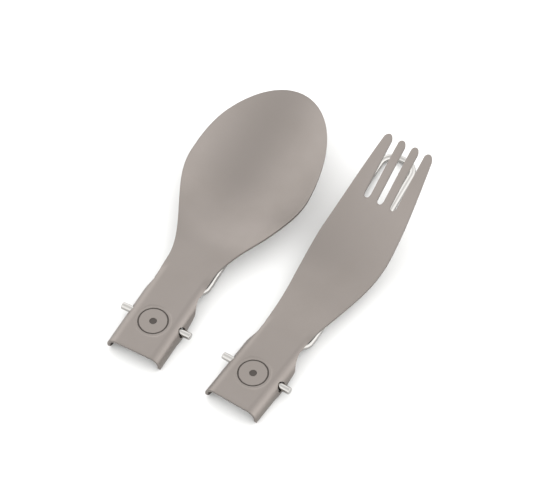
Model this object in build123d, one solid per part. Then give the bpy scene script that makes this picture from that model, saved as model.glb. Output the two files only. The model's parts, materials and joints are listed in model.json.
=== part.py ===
from build123d import *
import math
import os

# Folding picnic cutlery: a spoon and a fork that lie side by side, each one a
# pressed sheet head with a bent wire handle that hinges in its folded channel.
# Millimetres and degrees. A head's own frame: Y forward from the channel's back
# end, X across, Z up from the top of the web. A handle's own frame: origin on the
# pins' axis, legs along +Y. What the spoon and the fork share is written once.

# ---- pressed sheet and wire ----
SHEET = 0.9                  # thickness of the pressed sheet
WIRE = 2.2                   # diameter of the handle wire

# ---- channel at the back of each head ----
CHANNEL_WIDTH = 17.9         # outside width across the flanges
BEND_RADIUS = 3.3            # outside radius of the bend from web to flange
LEG_HEADROOM = 0.4           # between a leg and the web above it
LEG_FOOTROOM = 0.7           # between a leg and the lips below it
LIP_RADIUS = 1.2             # outside radius of the lip that turns in under the wire
LIP_TURN = 70.0              # how far the lip turns in
LIP_FADE = (6.0, 12.0)       # the lip fades out between these distances
EAR_PAST_PIVOT = 1.0         # the flange's lower edge starts to rise this far past the pins
EAR_SHORT = 1.2              # and has run out this far short of the handle's step
EAR_DEPTH_LEFT = 1.2         # depth below the web where the ear runs out
EAR_SLOPE = 0.3              # slope of the edge there
FADE_PAST_PIVOT = 5.8        # the bend starts to open out flat this far past the pins
FADE_PAST_STEP = 4.8         # and is flat this far past the handle's step

# ---- pivot ----
PIVOT_FROM_END = 13.2        # pins' axis forward of the channel's end
HOLE_CLEARANCE = 0.5         # radial play of the wire in its holes
PIN_PROUD = 2.7              # how far a pin stands out of its flange
PIN_CHAMFER = 0.25

# ---- wire handle, by its centre line ----
LEG_CLEARANCE = 1.55         # between a leg and the flange's inner face
PIN_BEND = 2.2               # radius of the bend from pin to leg
SHOULDER_GAP = 1.8           # the legs step outwards this far clear of the channel's end
SHOULDER_LENGTH = 3.0        # length of the bulge that the step makes
SHOULDER_STEP = 1.7          # how far the step goes outwards
LEG_STEP = 1.5               # and how much of it is left after the bulge
LEG_BEND = 2.5               # radius of the small bends in a leg
LOOP_HALF_WIDTH = 5.2        # half the legs' spacing at the closed end
LOOP_BEND = 4.6              # radius of the two bends that close the loop
HANDLE_REACH = 91.0          # pins' axis to the closed end
FORK_LOOP_SET = -6.9         # the fork handle's closed end is bent this far to the left

# ---- spoon ----
SPOON_LENGTH = 101.0
SPOON_NECK = (32.5, 7.8)     # place and half width of the neck
SPOON_WIDEST = (68.0, 20.0)  # place and half width of the bowl
BOWL_DEPTH = 6.5             # from the rim to the bottom
BOWL_START = 42.0            # the bowl begins to sink here
BOWL_MIDDLE = 72.0           # and is deepest here
BOWL_SIDES = (36.0, 60.0)    # the hollow across the blade grows between these distances
BOWL_BELOW_WEB = 0.3         # how much more the bowl sinks than its rim climbs
RIM_CLIMB = (50.0, 86.0)     # the rim climbs between these distances

# ---- fork ----
FORK_LENGTH = 94.5           # measured along the web's plane
FORK_NECK = (27.0, 7.3)
FORK_WIDEST = (64.0, 11.8)
TIP_HALF_WIDTH = 8.25        # half width across the tips
TAPER_POWER = 1.4            # how late the blade narrows towards the tips
DIP_DEPTH = 1.4              # how far the blade sinks before it turns up
DIP_IN = (28.0, 46.0)        # it sinks between these distances
DIP_OUT = (56.0, 80.0)       # and recovers between these
CURVE_UP = (50.0, 80.0)      # the blade curves upwards between these distances
TINE_SLOPE = 31.0            # slope that the tines keep after that
DISH_DEPTH = 0.7             # hollow across the blade
DISH_IN = (46.0, 60.0)
DISH_OUT = (75.0, 90.0)
TINE_LENGTH = 16.9           # from the slots' closed ends to the tips
SLOT_WIDTH = 2.1
SLOT_PITCH = 4.6
SLOT_COUNT = 3
TIP_ROUNDING = 1.1

# ---- stamped mark: a coined flat disc with a plain ring round a dot ----
MARK_FROM_END = 11.5
COIN_MARGIN = 0.35           # from the disc to where the bend starts
COIN_DEPTH = 0.05            # the disc lies this far below the web's top
RING_INSET = 0.9             # from the disc's edge to the ring
RING_GROOVE = 0.4
DOT_RADIUS = 1.1
STAMP_DEPTH = 0.2            # the ring and the dot lie this far below it

# ---- how the two lie beside each other ----
PIN_GAP = 10.2               # between the spoon's pins and the fork's, along X
FORK_BACK = 1.6              # the fork's channel end lies this far behind the spoon's
FORK_YAW = 4.9               # the fork points away from the spoon by this much
FORK_HANDLE_SKEW = 1.0       # the fork's handle sits askew in its holes
SPOON_PITCH = 2.0            # how far each head's front is raised
FORK_PITCH = 1.5

# ---- modelling steps ----
STATION_STEP = 2.0           # spacing of the sheet's cross-sections
STRIP_COUNT = 64             # strips across a cross-section
TRIM_MARGIN = 2.5            # sheet left outside an outline for the trim to cut
OUTLINE_STEP = 6.0           # spacing of an outline's points
TALL = 60.0                  # more than any height in the model
SLOPE_STEP = 0.01            # for measuring the sheet's slopes
MESH_TOLERANCE = 0.02        # for measuring the footprint

# ---- worked out ----
lip_length = LIP_RADIUS * math.radians(LIP_TURN)
lip_depth = 2 * SHEET + LEG_HEADROOM + WIRE + LEG_FOOTROOM
flange_depth = lip_depth - LIP_RADIUS * math.sin(math.radians(LIP_TURN))
bend_radius = min(BEND_RADIUS, flange_depth)
flange_flat = flange_depth - bend_radius
half_channel = CHANNEL_WIDTH / 2
flat_half = half_channel - bend_radius
quarter_bend = bend_radius * math.pi / 2
channel_strip = flat_half + quarter_bend + flange_flat + lip_length
ear_depth = flange_depth + lip_length
pivot_drop = SHEET + LEG_HEADROOM + WIRE / 2
step_start = PIVOT_FROM_END + SHOULDER_GAP
folded_step = PIVOT_FROM_END + step_start
ear_start = PIVOT_FROM_END + EAR_PAST_PIVOT
ear_end = folded_step - EAR_SHORT
channel_fade = (PIVOT_FROM_END + FADE_PAST_PIVOT, folded_step + FADE_PAST_STEP)
hole_radius = WIRE / 2 + HOLE_CLEARANCE
pin_half_width = half_channel - SHEET - LEG_CLEARANCE - WIRE / 2
pin_half_span = half_channel + PIN_PROUD
rim_rise = BOWL_DEPTH - BOWL_BELOW_WEB
slot_root = FORK_LENGTH - TINE_LENGTH
coin_radius = flat_half - COIN_MARGIN
ring_radius = coin_radius - RING_INSET
fork_across = 2 * pin_half_span + PIN_GAP


def ease(value, start, end):
    """Smooth step from 0 at start to 1 at end."""
    share = min(max((value - start) / (end - start), 0), 1)
    return share * share * (3 - 2 * share)


# ---- outlines and pressed heights ----
def spoon_half_width(forward):
    neck, neck_half = SPOON_NECK
    widest, bowl_half = SPOON_WIDEST
    return neck_half + (bowl_half - neck_half) * ease(forward, neck, widest)


def spoon_height(across, forward):
    """Pressed height of the spoon's top face above its web."""
    rim = rim_rise * ease(forward, *RIM_CLIMB)
    sink = ease(forward, BOWL_START, BOWL_MIDDLE)
    if forward > BOWL_MIDDLE:
        sink = 1 - ((forward - BOWL_MIDDLE) / (SPOON_LENGTH - BOWL_MIDDLE)) ** 2
    side = (across / SPOON_WIDEST[1]) ** 2 * ease(forward, *BOWL_SIDES)
    return rim - BOWL_DEPTH * (sink - side)


def fork_half_width(forward):
    neck, neck_half = FORK_NECK
    widest, blade_half = FORK_WIDEST
    if forward < widest:
        return neck_half + (blade_half - neck_half) * ease(forward, neck, widest)
    share = (forward - widest) / (FORK_LENGTH - widest)
    return blade_half - (blade_half - TIP_HALF_WIDTH) * share ** TAPER_POWER


def fork_height(across, forward):
    """Pressed height of the fork's top face above its web."""
    dip = DIP_DEPTH * ease(forward, *DIP_IN) * (1 - ease(forward, *DIP_OUT))
    start, end = CURVE_UP
    slope = math.tan(math.radians(TINE_SLOPE))
    curved = min(max(forward - start, 0), end - start)
    rise = slope * curved ** 2 / (2 * (end - start)) + slope * max(forward - end, 0)
    dish = DISH_DEPTH * ease(forward, *DISH_IN) * (1 - ease(forward, *DISH_OUT))
    return rise - dip - dish * (1 - (across / FORK_WIDEST[1]) ** 2)


# ---- pressed sheet ----
def folded(strip, bend, lip):
    """How far across and down a distance along the strip ends, from the web's middle."""
    flat = min(strip, flat_half)
    turned = min(strip - flat, bend_radius * bend)
    straight = min(strip - flat - turned, quarter_bend - bend_radius * bend + flange_flat)
    curled = min(strip - flat - turned - straight, LIP_RADIUS * lip)
    rest = strip - flat - turned - straight - curled
    angle = turned / bend_radius
    end_angle = angle + curled / LIP_RADIUS
    across = flat + bend_radius * math.sin(angle) + straight * math.cos(angle)
    across += LIP_RADIUS * (math.sin(end_angle) - math.sin(angle)) + rest * math.cos(end_angle)
    down = bend_radius * (1 - math.cos(angle)) + straight * math.sin(angle)
    down += LIP_RADIUS * (math.cos(angle) - math.cos(end_angle)) + rest * math.sin(end_angle)
    return across, down


def sheet_point(strip, forward, height):
    """A point on the sheet's top face."""
    bend = math.pi / 2 * (1 - ease(forward, *channel_fade))
    lip = math.radians(LIP_TURN) * (1 - ease(forward, *LIP_FADE))
    across, down = folded(abs(strip), bend, lip)
    across = math.copysign(across, strip)
    return Vector(across, forward, height(across, forward) - down)


def sheet_section(forward, half_strip, height):
    """Closed cross-section of the sheet at one distance from the channel's end."""
    shares = [i / STRIP_COUNT for i in range(STRIP_COUNT + 1)]
    top, bottom = [], []
    for share in shares:
        strip = half_strip * (2 * share - 1)
        point = sheet_point(strip, forward, height)
        across = sheet_point(strip + SLOPE_STEP, forward, height) - point
        along = sheet_point(strip, forward + SLOPE_STEP, height) - point
        normal = Vector(-across.Z, 0, across.X).normalized()
        top.append(point)
        bottom.append(point - normal * SHEET * math.hypot(1, along.Z / along.Y))
    edges = [Edge.make_spline(top, parameters=shares), Edge.make_line(top[-1], bottom[-1])]
    edges += [Edge.make_spline(bottom, parameters=shares), Edge.make_line(bottom[0], top[0])]
    return Wire(edges)


def pressed_sheet(length, blade_half_width, height):
    """Sheet solid, wider and longer than the blade's outline."""
    full_length = length + TRIM_MARGIN
    count = round(full_length / STATION_STEP)
    blade_strip = blade_half_width + TRIM_MARGIN
    sections = []
    for i in range(count + 1):
        forward = full_length * i / count
        widening = ease(forward, channel_fade[0], channel_fade[1] + TRIM_MARGIN)
        half_strip = channel_strip + (blade_strip - channel_strip) * widening
        sections.append(sheet_section(forward, half_strip, height))
    return Solid.make_loft(sections)


def side_points(half_width, end):
    """Points along the right side of an outline, from the channel to the end."""
    count = round((end - ear_end) / OUTLINE_STEP)
    stations = [ear_end + (end - ear_end) * i / count for i in range(count + 1)]
    return [(half_width(forward), forward) for forward in stations]


def mirrored(points):
    return [(-across, forward) for across, forward in reversed(points)]


def channel_border(first, last):
    """Outline round the channel, from the left side's end to the right side's start."""
    outside = half_channel + TRIM_MARGIN
    corners = [last, (-outside, ear_start), (-outside, 0), (outside, 0), (outside, ear_start), first]
    return Polyline(*corners)


def ear_cut():
    """What the rising lower edge of both flanges removes."""
    start, end = (ear_start, -ear_depth), (ear_end, -EAR_DEPTH_LEFT)
    below = -TALL / 2
    edge = Spline(start, end, tangents=((1, 0), (1, EAR_SLOPE)))
    rest = Polyline(end, (ear_end, below), (ear_start, below), start)
    profile = Plane.YZ * make_face(edge.edges() + rest.edges())
    return extrude(profile, CHANNEL_WIDTH, both=True)


def stamp(shape, depth):
    return Pos(0, MARK_FROM_END, -depth) * extrude(shape, depth + SHEET)


def head(sheet, outline):
    """Trim a pressed sheet to its outline, then pierce and stamp its channel."""
    prism = Pos(0, 0, -TALL / 2) * extrude(outline, TALL)
    hole = Pos(0, PIVOT_FROM_END, -pivot_drop) * Rot(0, 90, 0) * Cylinder(hole_radius, 2 * CHANNEL_WIDTH)
    pierced = (sheet & prism) - ear_cut() - hole
    ring = Circle(ring_radius + RING_GROOVE / 2) - Circle(ring_radius - RING_GROOVE / 2)
    return pierced - stamp(Circle(coin_radius), COIN_DEPTH) - stamp(ring + Circle(DOT_RADIUS), STAMP_DEPTH)


def spoon_head():
    widest, bowl_half = SPOON_WIDEST
    right = side_points(spoon_half_width, widest)
    left = mirrored(right)
    tip = EllipticalCenterArc((0, widest), bowl_half, SPOON_LENGTH - widest, arc_size=180)
    sides = Spline(*right) + Spline(*left)
    outline = make_face(sides.edges() + tip.edges() + channel_border(right[0], left[-1]).edges())
    return head(pressed_sheet(SPOON_LENGTH, bowl_half, spoon_height), outline)


def fork_head():
    right = side_points(fork_half_width, FORK_LENGTH)
    left = mirrored(right)
    sides = Spline(*right) + Spline(*left) + Line(right[-1], left[0])
    outline = make_face(sides.edges() + channel_border(right[0], left[-1]).edges())
    for i in range(SLOT_COUNT):
        middle = SLOT_PITCH * (i - (SLOT_COUNT - 1) / 2)
        start = slot_root + SLOT_WIDTH / 2
        outline -= Pos(middle, start) * Circle(SLOT_WIDTH / 2)
        slot = Rectangle(SLOT_WIDTH, TINE_LENGTH, align=(Align.CENTER, Align.MIN))
        outline -= Pos(middle, start) * slot
    tips = [v for v in outline.vertices() if v.Y > FORK_LENGTH - TIP_ROUNDING]
    outline = fillet(tips, TIP_ROUNDING)
    return head(pressed_sheet(FORK_LENGTH, FORK_WIDEST[1], fork_height), outline)


# ---- wire handle ----
def handle(loop_set):
    """Bent wire: pins out to both sides, two legs, a step in each, and a closed end."""
    step_end = step_start + SHOULDER_LENGTH / 2
    shoulder_half, leg_half = pin_half_width + SHOULDER_STEP, pin_half_width + LEG_STEP
    leg = [
        (pin_half_span, 0),
        (pin_half_width, 0),
        (pin_half_width, step_start),
        (shoulder_half, step_end),
        (shoulder_half, step_end + SHOULDER_LENGTH),
        (leg_half, step_end + 2 * SHOULDER_LENGTH),
    ]
    loop = [(loop_set + LOOP_HALF_WIDTH, HANDLE_REACH), (loop_set - LOOP_HALF_WIDTH, HANDLE_REACH)]
    bends = [PIN_BEND, LEG_BEND, LEG_BEND, LEG_BEND, LEG_BEND, LOOP_BEND]
    path = FilletPolyline(*leg, *loop, *mirrored(leg), radius=bends + bends[::-1])
    start = Plane(origin=(pin_half_span, 0, 0), z_dir=(-1, 0, 0))
    wire = sweep(start * Circle(WIRE / 2), path=path.wire())
    ends = [face for face in wire.faces() if abs(abs(face.center().X) - pin_half_span) < PIN_CHAMFER]
    rims = [edge for face in ends for edge in face.edges()]
    return chamfer(rims, PIN_CHAMFER)


# ---- assembly ----
def standing_height(pitch):
    """Height of the web's end when the lips or the ears of the flanges touch the floor."""
    angle = math.radians(pitch)
    on_ears = ear_depth * math.cos(angle) - LIP_FADE[1] * math.sin(angle)
    return max(lip_depth * math.cos(angle), on_ears)


def utensil(head_shape, handle_shape, across, back, yaw, pitch, skew):
    """Stand a head on its flanges and fold its handle down to the same floor."""
    place = Pos(across, -back, standing_height(pitch)) * Rot(0, 0, -yaw) * Rot(pitch, 0, 0)
    pivot = place * Pos(0, PIVOT_FROM_END, -pivot_drop)
    droop = math.degrees(math.asin((pivot.position.Z - WIRE / 2) / HANDLE_REACH))
    folded_handle = pivot * Rot(0, 0, skew) * Rot(-droop - pitch, 0, 0) * handle_shape
    return place * head_shape, folded_handle, pivot


spoon = utensil(spoon_head(), handle(0), 0, 0, 0, SPOON_PITCH, 0)
fork_handle = handle(FORK_LOOP_SET)
fork = utensil(fork_head(), fork_handle, fork_across, FORK_BACK, FORK_YAW, FORK_PITCH, FORK_HANDLE_SKEW)
nodes = {"spoon_head": spoon[0], "spoon_handle": spoon[1], "fork_head": fork[0], "fork_handle": fork[1]}

# The origin is the middle of the whole set's footprint, on the floor.
points = [point for shape in nodes.values() for point in shape.tessellate(MESH_TOLERANCE)[0]]
middle_x = (min(p.X for p in points) + max(p.X for p in points)) / 2
middle_y = (min(p.Y for p in points) + max(p.Y for p in points)) / 2
centred = Pos(-middle_x, -middle_y, 0)

os.makedirs("parts", exist_ok=True)
for name, shape in nodes.items():
    export_step(centred * shape, f"parts/{name}.step")
for name, pivot in (("spoon", spoon[2]), ("fork", fork[2])):
    print(name, "pivot", centred * pivot)
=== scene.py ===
"""Folding picnic cutlery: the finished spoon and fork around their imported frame.

Everything is in metres, in the frame's own coordinates. A head's own frame has Y
forward from the channel's back end, X across, and Z up from the top of its web. A
handle's own frame has its origin on the pins' axis, with the legs along +Y.
"""

import json
import math

import bmesh
import bpy
from bpy.props import FloatProperty, FloatVectorProperty, IntProperty, PointerProperty
from mathutils import Matrix, Vector


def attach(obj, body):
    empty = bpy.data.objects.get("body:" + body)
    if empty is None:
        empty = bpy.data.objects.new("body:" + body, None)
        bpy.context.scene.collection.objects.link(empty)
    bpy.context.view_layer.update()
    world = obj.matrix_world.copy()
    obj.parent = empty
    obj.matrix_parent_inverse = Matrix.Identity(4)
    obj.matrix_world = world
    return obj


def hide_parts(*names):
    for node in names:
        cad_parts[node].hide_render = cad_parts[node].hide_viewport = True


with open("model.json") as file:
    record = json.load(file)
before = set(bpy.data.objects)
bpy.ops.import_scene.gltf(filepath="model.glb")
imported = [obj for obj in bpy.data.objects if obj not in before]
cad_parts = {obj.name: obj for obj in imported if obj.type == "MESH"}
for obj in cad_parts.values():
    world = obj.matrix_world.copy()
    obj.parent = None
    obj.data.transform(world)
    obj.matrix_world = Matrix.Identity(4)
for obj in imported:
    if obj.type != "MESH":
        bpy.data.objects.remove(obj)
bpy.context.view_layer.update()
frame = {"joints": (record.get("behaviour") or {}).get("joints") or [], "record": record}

bl_info = {
    "name": "Folding Picnic Cutlery",
    "version": (1, 0, 0),
    "blender": (4, 5, 0),
    "location": "View3D > Sidebar > Cutlery",
    "description": "Builds a pressed sheet spoon and fork with folding wire handles",
    "category": "Add Mesh",
}

MM = 0.001

# Folding of the sheet. Distances run forward from the channel's end.
FADE_PAST_PIVOT = 5.8 * MM   # the bend starts to open out flat this far past the pins
FADE_PAST_STEP = 4.8 * MM    # and is flat this far past the handle's step
LIP_FADE = (6 * MM, 12 * MM)            # the lip fades out between these distances
LIP_TRIM = (5 * MM, 11.5 * MM)          # and its share of the sheet is cut away here
LIP_LEFT = 0.7 * MM          # what is left of that share
EAR_PAST_PIVOT = 1.0 * MM    # the flange's lower edge starts to rise this far past the pins
EAR_BEFORE_STEP = 2.6 * MM   # and has run out this far short of the handle's step
EAR_DEPTH_LEFT = 1.0 * MM    # depth below the web where the ear runs out
EAR_SLOPES = (0.25, 0.3)     # slope of the ear's edge where it starts and runs out
EAR_FLARE = 18.5 * MM        # how slowly the outline flares from the neck back to the channel
EAR_SMOOTH = 2.0 * MM        # over how much sheet the ear's edge turns into the neck's
LOOSE_FROM, LOOSE_BEFORE = 1.5 * MM, 1 * MM     # the columns leave the channel's lines here
SQUARE_UNTIL, STRAIGHT_FROM = 2 * MM, 4 * MM    # the thickness turns straight down here

# Pressed shape of the bowl and the blade, between these distances.
BOWL_START, BOWL_MIDDLE = 42 * MM, 72 * MM
BOWL_SIDES = (36 * MM, 60 * MM)
RIM_CLIMB = (50 * MM, 86 * MM)
CURVE_UP = (50 * MM, 80 * MM)
DIP_IN, DIP_OUT = (28 * MM, 46 * MM), (56 * MM, 80 * MM)
DISH_IN, DISH_OUT = (46 * MM, 60 * MM), (75 * MM, 90 * MM)
TAPER_POWER = 1.4            # how late the fork's blade narrows towards the tips

JOINTS = {joint["name"]: joint for joint in frame["joints"]}
MOUNTS = {mount["name"]: mount for mount in frame["record"]["mounts"]}


def linear(hex_colour):
    """Turn an sRGB hex value into the linear colour that shaders read."""
    channels = [int(hex_colour[i:i + 2], 16) / 255 for i in (1, 3, 5)]
    return tuple(c / 12.92 if c <= 0.04045 else ((c + 0.055) / 1.055) ** 2.4 for c in channels)


# ---------------------------------------------------------------- sizes and colours

class SheetSizes(bpy.types.PropertyGroup):
    thickness: FloatProperty(
        name="Sheet", description="Thickness of the pressed sheet", default=0.9 * MM, unit="LENGTH")
    channel_width: FloatProperty(
        name="Channel Width", description="Outside width across the flanges", default=17.9 * MM,
        unit="LENGTH")
    bend_radius: FloatProperty(
        name="Bend Radius", description="Outside radius of the bend from web to flange",
        default=3.3 * MM, unit="LENGTH")
    lip_radius: FloatProperty(
        name="Lip Radius", description="Outside radius of the lip that turns in under the wire",
        default=1.2 * MM, unit="LENGTH")
    lip_turn: FloatProperty(
        name="Lip Turn", description="How far the lip turns in", default=math.radians(70),
        unit="ROTATION")
    leg_headroom: FloatProperty(
        name="Headroom", description="Gap between a leg and the web above it", default=0.4 * MM,
        unit="LENGTH")
    leg_footroom: FloatProperty(
        name="Footroom", description="Gap between a leg and the lips below it", default=0.7 * MM,
        unit="LENGTH")
    pivot_from_end: FloatProperty(
        name="Pivot From End", description="Pins' axis forward of the channel's end",
        default=13.2 * MM, unit="LENGTH")
    hole_clearance: FloatProperty(
        name="Hole Clearance", description="Radial play of the wire in its holes",
        default=0.5 * MM, unit="LENGTH")
    corner_radius: FloatProperty(
        name="Corner Radius", description="Rounding of the flanges' rear lower corners",
        default=1.6 * MM, unit="LENGTH")
    edge_radius: FloatProperty(
        name="Edge Radius", description="Rounding that tumbling leaves on every cut edge",
        default=0.16 * MM, unit="LENGTH")


class MarkSizes(bpy.types.PropertyGroup):
    from_end: FloatProperty(
        name="Mark From End", description="Centre of the stamped mark forward of the channel's end",
        default=11.5 * MM, unit="LENGTH")
    disc_radius: FloatProperty(
        name="Disc Radius", description="Radius of the coined flat disc", default=5.3 * MM,
        unit="LENGTH")
    disc_depth: FloatProperty(
        name="Disc Depth", description="How far the disc lies below the web", default=0.05 * MM,
        unit="LENGTH")
    ring_radius: FloatProperty(
        name="Ring Radius", description="Middle of the ring groove", default=4.4 * MM,
        unit="LENGTH")
    groove: FloatProperty(
        name="Groove", description="Width of the ring groove", default=0.4 * MM, unit="LENGTH")
    dot_radius: FloatProperty(
        name="Dot Radius", description="Radius of the dot in the middle", default=1.1 * MM,
        unit="LENGTH")
    stamp_depth: FloatProperty(
        name="Stamp Depth", description="How far the ring and dot lie below the web",
        default=0.2 * MM, unit="LENGTH")


class SpoonSizes(bpy.types.PropertyGroup):
    length: FloatProperty(
        name="Length", description="Length of the spoon's head", default=101.0 * MM, unit="LENGTH")
    neck: FloatProperty(
        name="Neck", description="Half width of the neck", default=7.8 * MM, unit="LENGTH")
    neck_at: FloatProperty(
        name="Neck Place", description="Where the neck is", default=32.5 * MM, unit="LENGTH")
    widest: FloatProperty(
        name="Bowl", description="Half width of the bowl", default=20.0 * MM, unit="LENGTH")
    widest_at: FloatProperty(
        name="Bowl Place", description="Where the bowl is widest", default=68.0 * MM, unit="LENGTH")
    depth: FloatProperty(
        name="Bowl Depth", description="Depth from the rim to the bottom", default=6.5 * MM,
        unit="LENGTH")
    below_web: FloatProperty(
        name="Below Web", description="How much more the bowl sinks than its rim climbs",
        default=0.3 * MM, unit="LENGTH")


class ForkSizes(bpy.types.PropertyGroup):
    length: FloatProperty(
        name="Length", description="Length of the fork's head along its web's plane",
        default=94.5 * MM, unit="LENGTH")
    neck: FloatProperty(
        name="Neck", description="Half width of the neck", default=7.3 * MM, unit="LENGTH")
    neck_at: FloatProperty(
        name="Neck Place", description="Where the neck is", default=27.0 * MM, unit="LENGTH")
    widest: FloatProperty(
        name="Blade", description="Half width of the blade", default=11.8 * MM, unit="LENGTH")
    widest_at: FloatProperty(
        name="Blade Place", description="Where the blade is widest", default=64.0 * MM,
        unit="LENGTH")
    tips: FloatProperty(
        name="Tips", description="Half width across the tips", default=8.25 * MM, unit="LENGTH")
    dip: FloatProperty(
        name="Dip", description="How far the blade sinks before it turns up", default=1.4 * MM,
        unit="LENGTH")
    dish: FloatProperty(
        name="Dish", description="Hollow across the blade", default=0.7 * MM, unit="LENGTH")
    tine_slope: FloatProperty(
        name="Tine Slope", description="Slope of the tines", default=math.radians(31),
        unit="ROTATION")
    tine_length: FloatProperty(
        name="Tine Length", description="From the slots' closed ends to the tips",
        default=16.9 * MM, unit="LENGTH")
    slot_width: FloatProperty(
        name="Slot Width", description="Gap between two tines", default=2.1 * MM, unit="LENGTH")
    slot_pitch: FloatProperty(
        name="Slot Pitch", description="Spacing of the slots", default=4.6 * MM, unit="LENGTH")


class WireSizes(bpy.types.PropertyGroup):
    diameter: FloatProperty(
        name="Wire", description="Diameter of the handle wire", default=2.2 * MM, unit="LENGTH")
    pin_proud: FloatProperty(
        name="Pin", description="How far a pin stands out of its flange", default=2.7 * MM,
        unit="LENGTH")
    pin_rounding: FloatProperty(
        name="Pin Rounding", description="Rounding of a pin's end", default=0.35 * MM,
        unit="LENGTH")
    leg_clearance: FloatProperty(
        name="Leg Clearance", description="Gap between a leg and the flange", default=1.55 * MM,
        unit="LENGTH")
    step_gap: FloatProperty(
        name="Step Gap", description="The legs step outwards this far clear of the channel",
        default=1.8 * MM, unit="LENGTH")
    step_length: FloatProperty(
        name="Bulge Length", description="Length of the bulge that the step makes",
        default=3.0 * MM, unit="LENGTH")
    step: FloatProperty(
        name="Step", description="How far the step goes outwards", default=1.7 * MM,
        unit="LENGTH")
    step_left: FloatProperty(
        name="Step Left", description="How much of the step is left after the bulge",
        default=1.5 * MM, unit="LENGTH")
    loop: FloatProperty(
        name="Loop", description="Half the legs' spacing at the closed end", default=5.2 * MM,
        unit="LENGTH")
    reach: FloatProperty(
        name="Reach", description="From the pins' axis to the closed end", default=91.0 * MM,
        unit="LENGTH")
    fork_loop_set: FloatProperty(
        name="Fork Loop Set", description="How far the fork's closed end is bent to the right",
        default=-6.9 * MM, unit="LENGTH")


class Finishes(bpy.types.PropertyGroup):
    sheet: FloatVectorProperty(
        name="Sheet", description="Bead-blasted titanium", default=linear("#807a76"), size=3,
        subtype="COLOR", min=0, max=1)
    sheet_warm: FloatVectorProperty(
        name="Sheet Tint", description="Warmer tint that the oxide leaves in places",
        default=linear("#7c7671"), size=3, subtype="COLOR", min=0, max=1)
    # Painted shade: the darker colour drawn at the bottom of the stamped ring and dot.
    stamp: FloatVectorProperty(
        name="Stamp", description="Black oxide in the stamped lines", default=linear("#4a4643"),
        size=3, subtype="COLOR", min=0, max=1)
    wire: FloatVectorProperty(
        name="Wire", description="Polished stainless steel", default=linear("#a3a19e"), size=3,
        subtype="COLOR", min=0, max=1)
    floor: FloatVectorProperty(
        name="Floor", description="Matt white studio paper", default=linear("#d8d8d7"), size=3,
        subtype="COLOR", min=0, max=1)


class StageSizes(bpy.types.PropertyGroup):
    floor_size: FloatProperty(
        name="Floor", description="Side of the square floor", default=6.0, unit="LENGTH")
    camera_azimuth: FloatProperty(
        name="Azimuth", description="Camera's turn to the right of the front",
        default=math.radians(29.3), unit="ROTATION")
    camera_elevation: FloatProperty(
        name="Elevation", description="Camera's height above the horizon",
        default=math.radians(53.7), unit="ROTATION")
    camera_distance: FloatProperty(
        name="Distance", description="Camera's distance from what it looks at", default=0.9595,
        unit="LENGTH")
    camera_target: FloatVectorProperty(
        name="Target", description="What the camera looks at",
        default=(0.65 * MM, 4.64 * MM, -2.93 * MM), size=3, subtype="XYZ", unit="LENGTH")
    lens: FloatProperty(
        name="Lens", description="Focal length in millimetres on a 36 mm sensor", default=208.7,
        unit="CAMERA")


class CutlerySettings(bpy.types.PropertyGroup):
    sheet: PointerProperty(type=SheetSizes, name="Sheet", description="Sizes of the sheet")
    mark: PointerProperty(type=MarkSizes, name="Mark", description="Sizes of the stamped mark")
    spoon: PointerProperty(type=SpoonSizes, name="Spoon", description="Sizes of the spoon")
    fork: PointerProperty(type=ForkSizes, name="Fork", description="Sizes of the fork")
    wire: PointerProperty(type=WireSizes, name="Wire", description="Sizes of the handles")
    finishes: PointerProperty(type=Finishes, name="Finishes", description="Colours")
    stage: PointerProperty(type=StageSizes, name="Stage", description="Floor and camera")
    rows: IntProperty(
        name="Fine Rows", description="Rows of faces per millimetre along the channel", default=2,
        min=1, max=4)


# ---------------------------------------------------------------- the pressed sheet

def ease(value, start, end):
    """Smooth step from 0 at start to 1 at end."""
    share = min(max((value - start) / (end - start), 0.0), 1.0)
    return share * share * (3 - 2 * share)


def blend(a, b, share):
    return a + (b - a) * share


def solve(passes, low, high):
    """Largest value between low and high for which passes(value) holds."""
    for _ in range(40):
        middle = (low + high) / 2
        if passes(middle):
            low = middle
        else:
            high = middle
    return low


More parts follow.
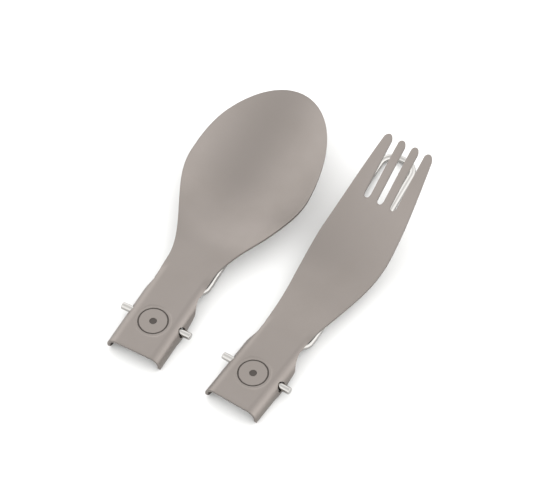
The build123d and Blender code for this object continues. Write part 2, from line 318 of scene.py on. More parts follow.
class Fold:
    """The folded channel at the back of a head."""

    def __init__(self, sheet, wire):
        lip_length = sheet.lip_radius * sheet.lip_turn
        lip_depth = (2 * sheet.thickness + sheet.leg_headroom + wire.diameter
                     + sheet.leg_footroom)
        flange_depth = lip_depth - sheet.lip_radius * math.sin(sheet.lip_turn)
        self.lip_radius, self.lip_turn = sheet.lip_radius, sheet.lip_turn
        self.bend = min(sheet.bend_radius, flange_depth)
        self.flange = flange_depth - self.bend
        self.half_width = sheet.channel_width / 2
        self.flat = self.half_width - self.bend
        self.strip = self.flat + self.bend * math.pi / 2 + self.flange + lip_length
        self.depth = flange_depth + lip_length
        self.pivot = (sheet.pivot_from_end,
                      sheet.thickness + sheet.leg_headroom + wire.diameter / 2)
        step = 2 * sheet.pivot_from_end + wire.step_gap
        self.fade = (sheet.pivot_from_end + FADE_PAST_PIVOT, step + FADE_PAST_STEP)
        self.ear = (sheet.pivot_from_end + EAR_PAST_PIVOT, step - EAR_BEFORE_STEP)
        self.plain_edge = self.strip - lip_length + LIP_LEFT

    def section(self, strip, forward):
        """How far across and down a distance along the strip ends."""
        bend = math.pi / 2 * (1 - ease(forward, *self.fade))
        lip = self.lip_turn * (1 - ease(forward, *LIP_FADE))
        arc = self.bend * bend
        flat = min(strip, self.flat)
        turned = min(strip - flat, arc)
        left = strip - flat - turned
        straight = min(left, self.bend * math.pi / 2 - arc + self.flange)
        curled = min(left - straight, self.lip_radius * lip)
        rest = left - straight - curled
        angle = turned / self.bend
        end = angle + curled / self.lip_radius
        across = flat + self.bend * math.sin(angle) + straight * math.cos(angle)
        across += self.lip_radius * (math.sin(end) - math.sin(angle)) + rest * math.cos(end)
        down = self.bend * (1 - math.cos(angle)) + straight * math.sin(angle)
        down += self.lip_radius * (math.cos(angle) - math.cos(end)) + rest * math.sin(end)
        return across, down

    def ear_depth(self, forward):
        """Depth of the flange's rising lower edge."""
        start, end = self.ear
        share = (forward - start) / (end - start)
        first = self.section(self.plain_edge, start)[1]
        drop = EAR_DEPTH_LEFT - first
        leave, arrive = (-slope * (end - start) for slope in EAR_SLOPES)
        depth = first + drop * (3 - 2 * share) * share ** 2
        return depth + leave * share * (1 - share) ** 2 + arrive * (share - 1) * share ** 2

    def edge(self, forward, half_width):
        """How far along the strip the outline cuts the sheet."""
        start, end = self.ear
        if forward <= start:
            return blend(self.strip, self.plain_edge, ease(forward, *LIP_TRIM))
        border = half_width(forward) + max(end - forward, 0) ** 2 / EAR_FLARE
        by_border = solve(lambda strip: self.section(strip, forward)[0] <= border, 0,
                          2 * self.strip)
        if forward >= end:
            return by_border
        lowest = self.ear_depth(forward)
        by_depth = solve(lambda strip: self.section(strip, forward)[1] <= lowest, 0, self.strip)
        # The ear's lower edge runs into the neck without a corner.
        near = max(EAR_SMOOTH - abs(by_border - by_depth), 0) / EAR_SMOOTH
        return min(by_border, by_depth) - near ** 2 * EAR_SMOOTH / 4


def spoon_half_width(spoon, forward):
    return blend(spoon.neck, spoon.widest, ease(forward, spoon.neck_at, spoon.widest_at))


def spoon_height(spoon, across, forward):
    """Pressed height of the spoon's top face above its web."""
    rim = (spoon.depth - spoon.below_web) * ease(forward, *RIM_CLIMB)
    sink = ease(forward, BOWL_START, BOWL_MIDDLE)
    if forward > BOWL_MIDDLE:
        sink = 1 - ((forward - BOWL_MIDDLE) / (spoon.length - BOWL_MIDDLE)) ** 2
    side = (across / spoon.widest) ** 2 * ease(forward, *BOWL_SIDES)
    return rim - spoon.depth * (sink - side)


def fork_half_width(fork, forward):
    if forward < fork.widest_at:
        return blend(fork.neck, fork.widest, ease(forward, fork.neck_at, fork.widest_at))
    share = (forward - fork.widest_at) / (fork.length - fork.widest_at)
    return fork.widest - (fork.widest - fork.tips) * share ** TAPER_POWER


def fork_height(fork, across, forward):
    """Pressed height of the fork's top face above its web."""
    start, end = CURVE_UP
    dip = fork.dip * ease(forward, *DIP_IN) * (1 - ease(forward, *DIP_OUT))
    slope = math.tan(fork.tine_slope)
    curved = min(max(forward - start, 0), end - start)
    rise = slope * curved ** 2 / (2 * (end - start)) + slope * max(forward - end, 0)
    dish = fork.dish * ease(forward, *DISH_IN) * (1 - ease(forward, *DISH_OUT))
    return rise - dip - dish * (1 - (across / fork.widest) ** 2)


class SheetGrid:
    """A flat grid of faces whose points are first laid out on the sheet, then pressed.

    place[i][j] is a point's distance along the strip and forward, for column i and row j.
    """

    def __init__(self, columns, rows):
        self.mesh = bmesh.new()
        self.columns, self.rows = columns, rows
        bmesh.ops.create_grid(self.mesh, x_segments=columns, y_segments=rows, size=1)
        self.index = {}
        for vert in self.mesh.verts:
            i = round((vert.co.x + 1) / 2 * columns)
            j = round((vert.co.y + 1) / 2 * rows)
            self.index[vert] = (i, j)
        self.place = [[None] * (rows + 1) for _ in range(columns + 1)]
        self.opened = []

    def line(self, first, last, middle, reach):
        """The lines nearest to middle - reach and middle + reach, out of evenly spaced ones."""
        count = len(first)
        low = min(range(count), key=lambda k: abs(first[k] - (middle - reach)))
        high = min(range(count), key=lambda k: abs(last[k] - (middle + reach)))
        return low, high

    def open_round(self, centre, reach, target, spread=1.35):
        """Pull the lines round a circle and remember the faces inside it.

        target(east, north) gives the place of a point on the circle, for a direction.
        """
        j0 = min(range(self.rows + 1), key=lambda j: abs(self.place[0][j][1] - centre[1]))
        row = [self.place[i][j0][0] for i in range(self.columns + 1)]
        column = [self.place[self.columns // 2][j][1] for j in range(self.rows + 1)]
        i1, i2 = self.line(row, row, centre[0], reach[0])
        j1, j2 = self.line(column, column, centre[1], reach[1])
        middle = ((row[i1] + row[i2]) / 2, (column[j1] + column[j2]) / 2)
        half = ((row[i2] - row[i1]) / 2, (column[j2] - column[j1]) / 2)
        for i in range(self.columns + 1):
            for j in range(self.rows + 1):
                strip, forward = self.place[i][j]
                east = (row[i] - middle[0]) / half[0]
                north = (column[j] - middle[1]) / half[1]
                square = max(abs(east), abs(north))
                if square >= spread or square == 0:
                    continue
                share = min((spread - square) / (spread - 1), 1)
                share = share * share * (3 - 2 * share)
                span = math.hypot(east, north)
                goal = target(east / span * square, north / span * square)
                self.place[i][j] = (blend(strip, goal[0], share), blend(forward, goal[1], share))
        self.opened.append((i1, i2, j1, j2))

    def faces_within(self, block):
        i1, i2, j1, j2 = block
        found = []
        for face in self.mesh.faces:
            cells = [self.index[v] for v in face.verts if v in self.index]
            if cells and all(i1 <= i <= i2 and j1 <= j <= j2 for i, j in cells):
                found.append(face)
        return found

    def press(self, fold, height):
        for vert, (i, j) in self.index.items():
            strip, forward = self.place[i][j]
            across, down = fold.section(abs(strip), forward)
            across = math.copysign(across, strip)
            vert.co = (across, forward, height(across, forward) - down)


def lay_out(grid, fold, half_width, forward_rows, still):
    """Rows across the sheet, with the columns inside still kept straight in the channel."""
    for j, forward in enumerate(forward_rows):
        edge = fold.edge(forward, half_width)
        loose = ease(forward, fold.ear[0] + LOOSE_FROM, fold.ear[1] - LOOSE_BEFORE)
        for i in range(grid.columns + 1):
            side = 2 * i / grid.columns - 1
            even = side * edge
            kept = abs(side) * fold.strip
            if kept > still:
                share = (kept - still) / (fold.strip - still)
                kept = blend(still, edge, share)
            kept = math.copysign(kept, side)
            grid.place[i][j] = (blend(kept, even, loose), forward)


def round_rear_corners(grid, fold, radius):
    """Round the flanges' rear lower corners."""
    reach = 3 * radius
    for i in range(grid.columns + 1):
        for j in range(grid.rows + 1):
            strip, forward = grid.place[i][j]
            past = abs(strip) - (fold.strip - radius)
            if past > 0 and forward < reach:
                back = radius - math.sqrt(max(radius ** 2 - min(past, radius) ** 2, 0))
                grid.place[i][j] = (strip, forward + back * (1 - forward / reach))


def pierce(grid, fold, radius):
    """Pull the grid round the pins' two holes."""
    forward, depth = fold.pivot
    top = solve(lambda strip: fold.section(strip, forward)[1] <= depth - radius, 0, fold.strip)
    low = solve(lambda strip: fold.section(strip, forward)[1] <= depth + radius, 0, fold.strip)
    middle, reach = (top + low) / 2, (low - top) / 2

    for side in (-1, 1):
        def target(east, north, side=side):
            goal = depth + radius * east * side
            strip = solve(lambda s: fold.section(s, forward)[1] <= goal, 0, 1.2 * fold.strip)
            return side * strip, forward + radius * north

        grid.open_round((side * middle, forward), (0.85 * reach, 0.85 * radius), target)


def thicken(grid, fold, thickness):
    """Give the sheet its thickness: square to it in the channel, straight down in the blade."""
    mesh = grid.mesh
    mesh.normal_update()
    normals = {tuple(vert.co): vert.normal.copy() for vert in mesh.verts}
    made = bmesh.ops.extrude_face_region(
        mesh, geom=list(mesh.faces), use_keep_orig=True)["geom"]
    for vert in (g for g in made if isinstance(g, bmesh.types.BMVert)):
        normal = normals[tuple(vert.co)]
        straight = Vector((0, 0, thickness / max(normal.z, 0.1)))
        share = ease(vert.co.y, fold.fade[1] - SQUARE_UNTIL, fold.fade[1] + STRAIGHT_FROM)
        vert.co -= blend(normal * thickness, straight, share)


def soften_edges(mesh, radius):
    """Round every cut edge a little, as tumbling does."""
    mesh.normal_update()
    sharp = [e for e in mesh.edges if e.is_manifold and e.calc_face_angle(0) > math.radians(50)]
    bmesh.ops.bevel(
        mesh, geom=sharp, offset=radius, offset_type="OFFSET", segments=3, profile=0.5,
        affect="EDGES", material=-1, clamp_overlap=True)


def stamp_mark(mesh, faces, mark):
    """Sink a disc, a ring and a dot into the web, ring by ring towards the middle."""
    centre = Vector((0, mark.from_end, 0))
    border = {e for f in faces for e in f.edges}
    inner = set(faces)
    loop = [e for e in border if sum(f in inner for f in e.link_faces) == 1]
    bmesh.ops.delete(mesh, geom=list(faces), context="FACES")
    wall = mark.groove / 8
    half = mark.groove / 2
    rings = [
        (mark.disc_radius - wall, mark.disc_depth),
        (mark.ring_radius + half + wall, mark.disc_depth),
        (mark.ring_radius + half - wall, mark.stamp_depth),
        (mark.ring_radius - half + wall, mark.stamp_depth),
        (mark.ring_radius - half - wall, mark.disc_depth),
        (2.5 * mark.dot_radius, mark.disc_depth),
        (mark.dot_radius + wall, mark.disc_depth),
        (mark.dot_radius - wall, mark.stamp_depth),
    ]
    # This layer marks the bottoms of the ring and the dot, where painted shade is drawn.
    recess_shade = mesh.verts.layers.float.new("recess_shade")
    for radius, depth in rings:
        made = bmesh.ops.extrude_edge_only(mesh, edges=loop)["geom"]
        loop = [g for g in made if isinstance(g, bmesh.types.BMEdge)]
        for edge in loop:
            edge.smooth = False
        points = [g for g in made if isinstance(g, bmesh.types.BMVert)]
        for vert in points:
            away = Vector((vert.co.x, vert.co.y - centre.y, 0)).normalized()
            vert.co = centre + away * radius - Vector((0, 0, depth))
            vert[recess_shade] = depth == mark.stamp_depth
    middle = centre - Vector((0, 0, mark.stamp_depth))
    inner = bmesh.ops.extrude_edge_only(mesh, edges=loop)["geom"]
    points = [g for g in inner if isinstance(g, bmesh.types.BMVert)]
    for vert in points:
        vert[recess_shade] = 1
    bmesh.ops.pointmerge(mesh, verts=points, merge_co=middle)


# ---------------------------------------------------------------- placing and finishing

def turn(angle, axis):
    return Matrix.Rotation(angle, 4, axis)


def head_place(name, fold):
    """Where a head stands: its web's slope from the mark, its place from the pins."""
    slope = Vector(MOUNTS[f"{name}_mark_flat"]["axis"])
    yaw = math.atan2(slope.x, slope.y) if abs(slope.x) > 1e-6 else math.pi
    yaw -= math.pi if yaw > 0 else -math.pi
    pitch = math.acos(slope.normalized().z)
    pivot = Vector(JOINTS[f"{name}_fold"]["pos_m"])
    stand = turn(-yaw, "Z") @ turn(pitch, "X")
    from_end, drop = fold.pivot
    return Matrix.Translation(pivot) @ stand @ Matrix.Translation((0, -from_end, drop))


def handle_place(name, fold, wire):
    """Where a folded handle lies: on its pins, with its closed end on the floor."""
    head = head_place(name, fold)
    joint = JOINTS[f"{name}_fold"]
    pins = head.to_3x3().inverted() @ -Vector(joint["axis"])
    skew = math.atan2(pins.y, pins.x)
    pivot = Vector(joint["pos_m"])
    pitch = math.acos(head.to_3x3().col[2].z)
    droop = math.asin((pivot.z - wire.diameter / 2) / wire.reach)
    lie = head.to_3x3().to_4x4() @ turn(skew, "Z") @ turn(-droop - pitch, "X")
    return Matrix.Translation(pivot) @ lie


def finish_piece(name, mesh, place, body, node, material):
    """Turn a mesh into a finished piece that rides on its body."""
    mesh.transform(place)
    bmesh.ops.recalc_face_normals(mesh, faces=list(mesh.faces))
    data = bpy.data.meshes.new(name)
    mesh.to_mesh(data)
    mesh.free()
    data.polygons.foreach_set("use_smooth", [True] * len(data.polygons))
    data.materials.append(material)
    piece = bpy.data.objects.new(name, data)
    bpy.context.scene.collection.objects.link(piece)
    even = piece.modifiers.new("Even Shading", "WEIGHTED_NORMAL")
    even.keep_sharp = True
    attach(piece, body)
    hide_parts(node)
    return piece


# ---------------------------------------------------------------- materials

def add_node(tree, kind, inputs=None, **settings):
    """Add one node, with its settings, its input values and its links."""
    node = tree.nodes.new(kind)
    for name, value in settings.items():
        setattr(node, name, value)
    for name, value in (inputs or {}).items():
        if isinstance(value, bpy.types.NodeSocket):
            tree.links.new(value, node.inputs[name])
        else:
            node.inputs[name].default_value = value
    return node


def new_material(name):
    """An empty material with its shader, and object coordinates to drive it."""
    material = bpy.data.materials.new(name)
    material.use_nodes = True
    tree = material.node_tree
    tree.nodes.clear()
    output = add_node(tree, "ShaderNodeOutputMaterial")
    shader = add_node(tree, "ShaderNodeBsdfPrincipled")
    tree.links.new(shader.outputs["BSDF"], output.inputs["Surface"])
    return material, tree, shader, add_node(tree, "ShaderNodeTexCoord").outputs["Object"]


def blasted_titanium(finishes):
    """Titanium sheet, bead blasted: a soft satin grey with a fine even grit."""
    material, tree, shader, where = new_material("Bead-Blasted Titanium")
    # Cloudy patches about 15 mm across, where the blasting and the oxide differ a little.
    patches = add_node(tree, "ShaderNodeTexNoise", {
        "Vector": where, "Scale": 1 / (15 * MM), "Detail": 3.0, "Roughness": 0.55})
    colour = add_node(tree, "ShaderNodeMix", {
        "Factor": patches.outputs["Fac"], "A": (*finishes.sheet, 1),
        "B": (*finishes.sheet_warm, 1)}, data_type="RGBA")
    # Beads leave dimples of about 0.1 mm. They are drawn 0.35 mm wide so that they show.
    grit = add_node(tree, "ShaderNodeTexNoise", {
        "Vector": where, "Scale": 1 / (0.35 * MM), "Detail": 2.0, "Roughness": 0.6})
    # Painted shade: the bottom of the stamped lines is drawn in a darker colour, where shade falls
    # in the groove.
    recess_shade = add_node(tree, "ShaderNodeAttribute", attribute_name="recess_shade")
    stamped = add_node(tree, "ShaderNodeMix", {
        "Factor": recess_shade.outputs["Fac"], "A": colour.outputs["Result"],
        "B": (*finishes.stamp, 1)}, data_type="RGBA")
    bump = add_node(tree, "ShaderNodeBump", {
        "Height": grit.outputs["Fac"], "Strength": 0.5, "Distance": 0.02 * MM})
    dull = add_node(tree, "ShaderNodeMapRange", {
        "Value": patches.outputs["Fac"], "From Min": 0.3, "From Max": 0.7, "To Min": 0.42,
        "To Max": 0.5})
    tree.links.new(stamped.outputs["Result"], shader.inputs["Base Color"])
    tree.links.new(dull.outputs["Result"], shader.inputs["Roughness"])
    tree.links.new(bump.outputs["Normal"], shader.inputs["Normal"])
    shader.inputs["Metallic"].default_value = 1.0
    return material


def polished_wire(finishes):
    """Stainless steel wire, drawn and polished: bright, with faint marks along it."""
    material, tree, shader, where = new_material("Polished Stainless Wire")
    # Drawing marks, 0.12 mm apart round the wire and stretched along it.
    stretch = add_node(tree, "ShaderNodeMapping", {"Vector": where, "Scale": (1, 0.06, 1)})
    marks = add_node(tree, "ShaderNodeTexNoise", {
        "Vector": stretch.outputs["Vector"], "Scale": 1 / (0.12 * MM), "Detail": 2.0})
    bump = add_node(tree, "ShaderNodeBump", {
        "Height": marks.outputs["Fac"], "Strength": 0.25, "Distance": 0.004 * MM})
    dull = add_node(tree, "ShaderNodeMapRange", {
        "Value": marks.outputs["Fac"], "From Min": 0.3, "From Max": 0.7, "To Min": 0.12,
        "To Max": 0.22})
    tree.links.new(dull.outputs["Result"], shader.inputs["Roughness"])
    tree.links.new(bump.outputs["Normal"], shader.inputs["Normal"])
    shader.inputs["Base Color"].default_value = (*finishes.wire, 1)
    shader.inputs["Metallic"].default_value = 1.0
    return material


def studio_paper(finishes):
    """White background paper, uncoated: matt, with a faint tooth."""
    material, tree, shader, where = new_material("White Studio Paper")
    tooth = add_node(tree, "ShaderNodeTexNoise", {"Vector": where, "Scale": 1 / (1.5 * MM)})
    bump = add_node(tree, "ShaderNodeBump", {
        "Height": tooth.outputs["Fac"], "Strength": 0.1, "Distance": 0.02 * MM})
    tree.links.new(bump.outputs["Normal"], shader.inputs["Normal"])
    shader.inputs["Base Color"].default_value = (*finishes.floor, 1)
    shader.inputs["Roughness"].default_value = 0.85
    return material


def shared_material(make):
    """The material that make builds, made once for all the pieces."""
    name = make.__name__
    if name not in MADE:
        MADE[name] = make(bpy.context.scene.cutlery.finishes)
    return MADE[name]


MADE = {}


# ---------------------------------------------------------------- operators

def finish_head(name, grid, fold, height):
    """Pierce, press, thicken, soften and stamp a head, and put it in its place."""
    settings = bpy.context.scene.cutlery
    sheet, mark = settings.sheet, settings.mark
    pierce(grid, fold, settings.wire.diameter / 2 + sheet.hole_clearance)
    holes = list(grid.opened)

    def on_disc(east, north):
        return mark.disc_radius * east, mark.from_end + mark.disc_radius * north

    reach = 0.86 * mark.disc_radius
    grid.open_round((0, mark.from_end), (reach, reach), on_disc)
    round_rear_corners(grid, fold, sheet.corner_radius)
    grid.press(fold, height)
    mesh = grid.mesh
    disc = grid.mesh.faces.layers.int.new("disc")
    for face in grid.faces_within(grid.opened[-1]):
        face[disc] = 1
    for block in holes:
        bmesh.ops.delete(mesh, geom=grid.faces_within(block), context="FACES")
    thicken(grid, fold, sheet.thickness)
    soften_edges(mesh, sheet.edge_radius)
    marked = [f for f in mesh.faces
              if f[disc] == 1 and f.calc_center_median().z > -sheet.thickness / 2]
    stamp_mark(mesh, marked, mark)
    mesh.faces.layers.int.remove(disc)
    finish_piece(f"{name}_blade", mesh, head_place(name, fold), name, f"{name}_head",
                 shared_material(blasted_titanium))


class CUTLERY_OT_spoon_head(bpy.types.Operator):
    """Press the spoon's head out of one sheet"""

    bl_idname = "cutlery.spoon_head"
    bl_label = "Spoon Head"

    def execute(self, context):
        settings = context.scene.cutlery
        spoon = settings.spoon
        fold = Fold(settings.sheet, settings.wire)
        fine = settings.rows / MM
        channel_rows = round(fold.ear[1] * fine)
        forward = [fold.ear[1] * j / channel_rows for j in range(channel_rows)]
        blade = spoon.widest_at - fold.ear[1]
        blade_rows = round(blade * fine / 1.7)
        forward += [fold.ear[1] + blade * j / blade_rows for j in range(blade_rows + 1)]
        tip = spoon.length - spoon.widest_at
        tip_rows = round(tip * fine / 1.7)
        grid = SheetGrid(80, len(forward) - 1 + tip_rows)
        lay_out(grid, fold, lambda y: spoon_half_width(spoon, y), forward, 7.4 * MM)
        # The bowl's front half is a half ellipse that the grid's square end is drawn into.
        for i in range(grid.columns + 1):
            side = 2 * i / grid.columns - 1
            for j in range(1, tip_rows + 1):
                north = j / tip_rows
                across = spoon.widest * side * math.sqrt(1 - north ** 2 / 2)
                ahead = tip * north * math.sqrt(1 - side ** 2 / 2)
                grid.place[i][len(forward) - 1 + j] = (across, spoon.widest_at + ahead)
        finish_head("spoon", grid, fold, lambda x, y: spoon_height(spoon, x, y))
        return {"FINISHED"}


def tine_columns(fork, half_width):
    """Columns across the tines and slots: where each lies, and which are slots."""
    edges = []
    for k in (-1, 0, 1):
        edges += [k * fork.slot_pitch - fork.slot_width / 2,
                  k * fork.slot_pitch + fork.slot_width / 2]
    stops = [-half_width] + edges + [half_width]
    counts = [12, 8, 10, 8, 10, 8, 12]
    places, bands = [stops[0]], []
    for band, (start, end, count) in enumerate(zip(stops, stops[1:], counts)):
        places += [blend(start, end, (k + 1) / count) for k in range(count)]
        bands += [(band, start, end)] * count
    return places, bands


class CUTLERY_OT_fork_head(bpy.types.Operator):
    """Press the fork's head out of one sheet and cut its tines"""

    bl_idname = "cutlery.fork_head"
    bl_label = "Fork Head"

    def execute(self, context):
        settings = context.scene.cutlery
        fork = settings.fork
        fold = Fold(settings.sheet, settings.wire)
        fine = settings.rows / MM
        radius = fork.slot_width / 2
        root = fork.length - fork.tine_length + radius
        tine = (fork.slot_pitch - fork.slot_width) / 2
        tip_start = fork.length - tine
        channel_rows = round(fold.ear[1] * fine)
        forward = [fold.ear[1] * j / channel_rows for j in range(channel_rows)]
        blade = root - fold.ear[1]
        blade_rows = round(blade * fine / 1.7)
        forward += [fold.ear[1] + blade * j / blade_rows for j in range(blade_rows + 1)]
        root_row = len(forward) - 1
        tine_rows = round((tip_start - root) * fine / 1.7)
        forward += [blend(root, tip_start, (j + 1) / tine_rows) for j in range(tine_rows)]
        tip_rows = 6
        grid = SheetGrid(68, len(forward) - 1 + tip_rows)
        lay_out(grid, fold, lambda y: fork_half_width(fork, y), forward, 7.4 * MM)
        bands = tine_columns(fork, fork.tips)[1]
        for j, ahead in enumerate(forward):
            share = ease(ahead, root - 22 * MM, root - 6 * MM)
            if share == 0:
                continue
            aligned = tine_columns(fork, fork_half_width(fork, ahead))[0]
            for i in range(grid.columns + 1):
                strip = blend(grid.place[i][j][0], aligned[i], share)
                nearest = round(strip / fork.slot_pitch) * fork.slot_pitch
                off = min(abs(aligned[i] - nearest), radius)
                back = math.sqrt(radius ** 2 - off ** 2)
                pull = ease(ahead, root - 8 * MM, root) * (j <= root_row)
                between = abs(nearest) < 1.5 * fork.slot_pitch
                grid.place[i][j] = (strip, ahead - back * pull * between)
        # Each tine ends in a half round that its square end is drawn into.
        for j in range(1, tip_rows + 1):
            north = j / tip_rows
            ahead = tip_start + tine * north
            places = tine_columns(fork, fork_half_width(fork, min(ahead, fork.length)))[0]
            for i in range(grid.columns + 1):
                band, start, end = bands[min(i, grid.columns - 1)]
                if band % 2 and i and bands[i - 1][0] != band:
                    band, start, end = bands[i - 1]
                if band == 0:
                    start = places[0]
                if band == 6:
                    end = places[-1]
                half = (end - start) / 2
                side = (places[i] - start) / half - 1
                side = min(max(side, -1), 1)
                across = start + half + half * side * math.sqrt(1 - north ** 2 / 2)
                step = tine * north * math.sqrt(1 - side ** 2 / 2)
                grid.place[i][len(forward) - 1 + j] = (across, tip_start + step)
        slots = [k for k, (band, _, _) in enumerate(bands) if band % 2]
        gaps = []
        for face in grid.mesh.faces:
            cells = [grid.index[v] for v in face.verts]
            if min(i for i, j in cells) in slots and min(j for i, j in cells) >= root_row:
                gaps.append(face)
        bmesh.ops.delete(grid.mesh, geom=gaps, context="FACES")
        grid.index = {v: ij for v, ij in grid.index.items() if v.is_valid}
        finish_head("fork", grid, fold, lambda x, y: fork_height(fork, x, y))
        return {"FINISHED"}


def handle_route(fold, sheet, wire, loop_set):
    """Corners of the wire's centre line and the radius of the bend at each one."""
    span = fold.half_width + wire.pin_proud
    pin = fold.half_width - sheet.thickness - wire.leg_clearance - wire.diameter / 2
    start = sheet.pivot_from_end + wire.step_gap
    end = start + wire.step_length / 2
    right = [
        (span, 0), (pin, 0), (pin, start), (pin + wire.step, end),
        (pin + wire.step, end + wire.step_length),
        (pin + wire.step_left, end + 2 * wire.step_length)]
    loop = [(loop_set + wire.loop, wire.reach), (loop_set - wire.loop, wire.reach)]
    bends = [2.2 * MM, 2.5 * MM, 2.5 * MM, 2.5 * MM, 2.5 * MM, 4.6 * MM]
    left = [(-x, y) for x, y in reversed(right)]
    return [Vector((x, y, 0)) for x, y in right + loop + left], bends + bends[::-1]


def bend_wire(corners, bends, radius, rounding):
    """Draw a round section along straight runs and bend it round every corner."""
    mesh = bmesh.new()
    first = (corners[1] - corners[0]).normalized()
    aim = first.to_track_quat("Z", "Y").to_matrix().to_4x4()
    ring = bmesh.ops.create_circle(mesh, segments=28, radius=radius)["verts"]
    bmesh.ops.transform(mesh, matrix=Matrix.Translation(corners[0]) @ aim, verts=ring)
    loop = list(mesh.edges)
    here = corners[0]
    for k, bend in enumerate(bends):
        before = (corners[k + 1] - corners[k]).normalized()
        after = (corners[k + 2] - corners[k + 1]).normalized()
        angle = before.angle(after)
        sense = 1 if before.cross(after).z > 0 else -1
        run_end = corners[k + 1] - before * bend * math.tan(angle / 2)
        loop = extrude_loop(mesh, loop, run_end - here)
        middle = run_end + Vector((-before.y, before.x, 0)) * bend * sense
        made = bmesh.ops.spin(
            mesh, geom=loop, cent=middle, axis=(0, 0, sense), dvec=(0, 0, 0), angle=angle,
            steps=max(2, math.ceil(angle / math.radians(7))), use_merge=False,
            use_duplicate=False)["geom_last"]
        loop = [g for g in made if isinstance(g, bmesh.types.BMEdge)]
        here = corners[k + 1] + after * bend * math.tan(angle / 2)
    loop = extrude_loop(mesh, loop, corners[-1] - here)
    ends = [e for e in mesh.edges if e.is_boundary]
    bmesh.ops.holes_fill(mesh, edges=ends, sides=0)
    bmesh.ops.recalc_face_normals(mesh, faces=list(mesh.faces))
    rims = [e for e in mesh.edges if e.is_manifold and e.calc_face_angle(0) > math.radians(60)]
    bmesh.ops.bevel(
        mesh, geom=rims, offset=rounding, offset_type="OFFSET", segments=4, profile=0.5,
        affect="EDGES", material=-1)
    return mesh


def extrude_loop(mesh, loop, move):
    """Carry a loop of edges straight on, in steps no longer than a few millimetres."""
    steps = max(1, round(move.length / (4 * MM)))
    for _ in range(steps):
        made = bmesh.ops.extrude_edge_only(mesh, edges=loop)["geom"]
        points = [g for g in made if isinstance(g, bmesh.types.BMVert)]
        bmesh.ops.translate(mesh, vec=move / steps, verts=points)
        loop = [g for g in made if isinstance(g, bmesh.types.BMEdge)]
    return loop


class CUTLERY_OT_wire_handles(bpy.types.Operator):
    """Bend both wire handles and fold them under their heads"""

    bl_idname = "cutlery.wire_handles"
    bl_label = "Wire Handles"

    def execute(self, context):
        settings = context.scene.cutlery
        wire = settings.wire
        fold = Fold(settings.sheet, wire)
        for name, loop_set in (("spoon", 0), ("fork", wire.fork_loop_set)):
            corners, bends = handle_route(fold, settings.sheet, wire, loop_set)
            mesh = bend_wire(corners, bends, wire.diameter / 2, wire.pin_rounding)
            finish_piece(f"{name}_wire", mesh, handle_place(name, fold, wire), f"{name}_handle",
                         f"{name}_handle", shared_material(polished_wire))
        return {"FINISHED"}


def add_ramp(tree, value, stops):
    """A grey ramp; its levels may lie above 1."""
    ramp = add_node(tree, "ShaderNodeValToRGB", {"Fac": value})
    marks = ramp.color_ramp.elements
    while len(marks) < len(stops):
        marks.new(0.5)
    for mark, (position, level) in zip(marks, stops):
        mark.position, mark.color = position, (level, level, level, 1)
    return ramp.outputs["Color"]


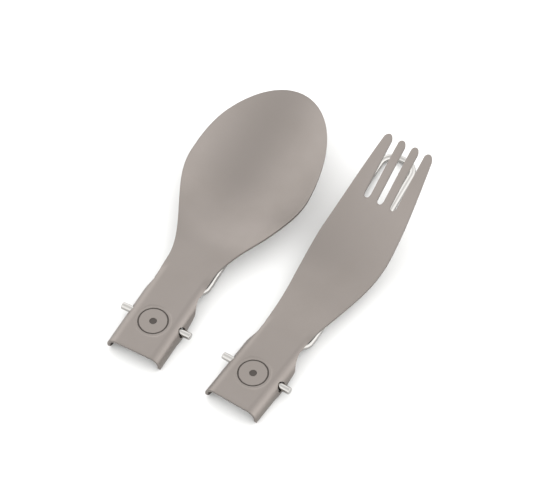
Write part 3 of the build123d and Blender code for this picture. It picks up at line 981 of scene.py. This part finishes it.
class CUTLERY_OT_stage(bpy.types.Operator):
    """Lay the floor, light it softly and set up the camera"""

    bl_idname = "cutlery.stage"
    bl_label = "Stage"

    def execute(self, context):
        stage = context.scene.cutlery.stage
        mesh = bmesh.new()
        bmesh.ops.create_grid(mesh, x_segments=1, y_segments=1, size=stage.floor_size / 2)
        data = bpy.data.meshes.new("floor")
        mesh.to_mesh(data)
        mesh.free()
        data.materials.append(shared_material(studio_paper))
        floor = bpy.data.objects.new("floor", data)
        context.scene.collection.objects.link(floor)

        world = bpy.data.worlds.new("Studio")
        world.use_nodes = True
        tree = world.node_tree
        tree.nodes.clear()
        where = add_node(tree, "ShaderNodeTexCoord").outputs["Generated"]
        split = add_node(tree, "ShaderNodeSeparateXYZ", {"Vector": where})
        height = add_ramp(tree, split.outputs["Z"], (
            (0.0, 1.2), (0.3, 1.5), (0.62, 1.4), (0.8, 1.1), (1.0, 0.85)))
        side = add_node(tree, "ShaderNodeMapRange", {
            "Value": split.outputs["X"], "From Min": -1.0, "From Max": 1.0})
        across = add_ramp(tree, side.outputs["Result"], (
            (0.0, 1.05), (0.25, 1.15), (0.45, 0.9), (0.65, 1.05), (0.9, 1.2)))
        level = add_node(
            tree, "ShaderNodeVectorMath", {0: height, 1: across}, operation="MULTIPLY")
        glow = add_node(
            tree, "ShaderNodeBackground", {"Color": level.outputs["Vector"], "Strength": 1.6})
        output = add_node(tree, "ShaderNodeOutputWorld")
        tree.links.new(glow.outputs["Background"], output.inputs["Surface"])
        context.scene.world = world


        camera_data = bpy.data.cameras.new("Camera")
        camera_data.lens = stage.lens
        camera_data.sensor_width = 36
        camera = bpy.data.objects.new("Camera", camera_data)
        context.scene.collection.objects.link(camera)
        flat = math.cos(stage.camera_elevation)
        away = Vector((
            math.sin(stage.camera_azimuth) * flat, -math.cos(stage.camera_azimuth) * flat,
            math.sin(stage.camera_elevation)))
        camera.location = Vector(stage.camera_target) + away * stage.camera_distance
        camera.rotation_euler = (-away).to_track_quat("-Z", "Y").to_euler()
        camera_data.clip_start = 0.01
        context.scene.camera = camera
        context.scene.view_settings.view_transform = "Standard"
        return {"FINISHED"}


class CUTLERY_PT_panel(bpy.types.Panel):
    """Sizes, colours and buttons for the picnic cutlery"""

    bl_idname = "CUTLERY_PT_panel"
    bl_label = "Picnic Cutlery"
    bl_space_type = "VIEW_3D"
    bl_region_type = "UI"
    bl_category = "Cutlery"

    def draw(self, context):
        settings = context.scene.cutlery
        for part in ("sheet", "mark", "spoon", "fork", "wire", "finishes", "stage"):
            group = getattr(settings, part)
            box = self.layout.box()
            box.label(text=part.title())
            for name in group.bl_rna.properties.keys():
                if name not in ("rna_type", "name"):
                    box.prop(group, name)
        for operator in OPERATORS:
            self.layout.operator(operator.bl_idname)


OPERATORS = (CUTLERY_OT_spoon_head, CUTLERY_OT_fork_head, CUTLERY_OT_wire_handles, CUTLERY_OT_stage)
CLASSES = (
    SheetSizes, MarkSizes, SpoonSizes, ForkSizes, WireSizes, Finishes, StageSizes,
    CutlerySettings) + OPERATORS + (CUTLERY_PT_panel,)


def register():
    for cls in CLASSES:
        bpy.utils.register_class(cls)
    bpy.types.Scene.cutlery = PointerProperty(type=CutlerySettings)


def unregister():
    del bpy.types.Scene.cutlery
    for cls in reversed(CLASSES):
        bpy.utils.unregister_class(cls)


def main():
    register()
    bpy.ops.cutlery.stage()
    bpy.ops.cutlery.spoon_head()
    bpy.ops.cutlery.fork_head()
    bpy.ops.cutlery.wire_handles()


if __name__ == "__main__":
    main()
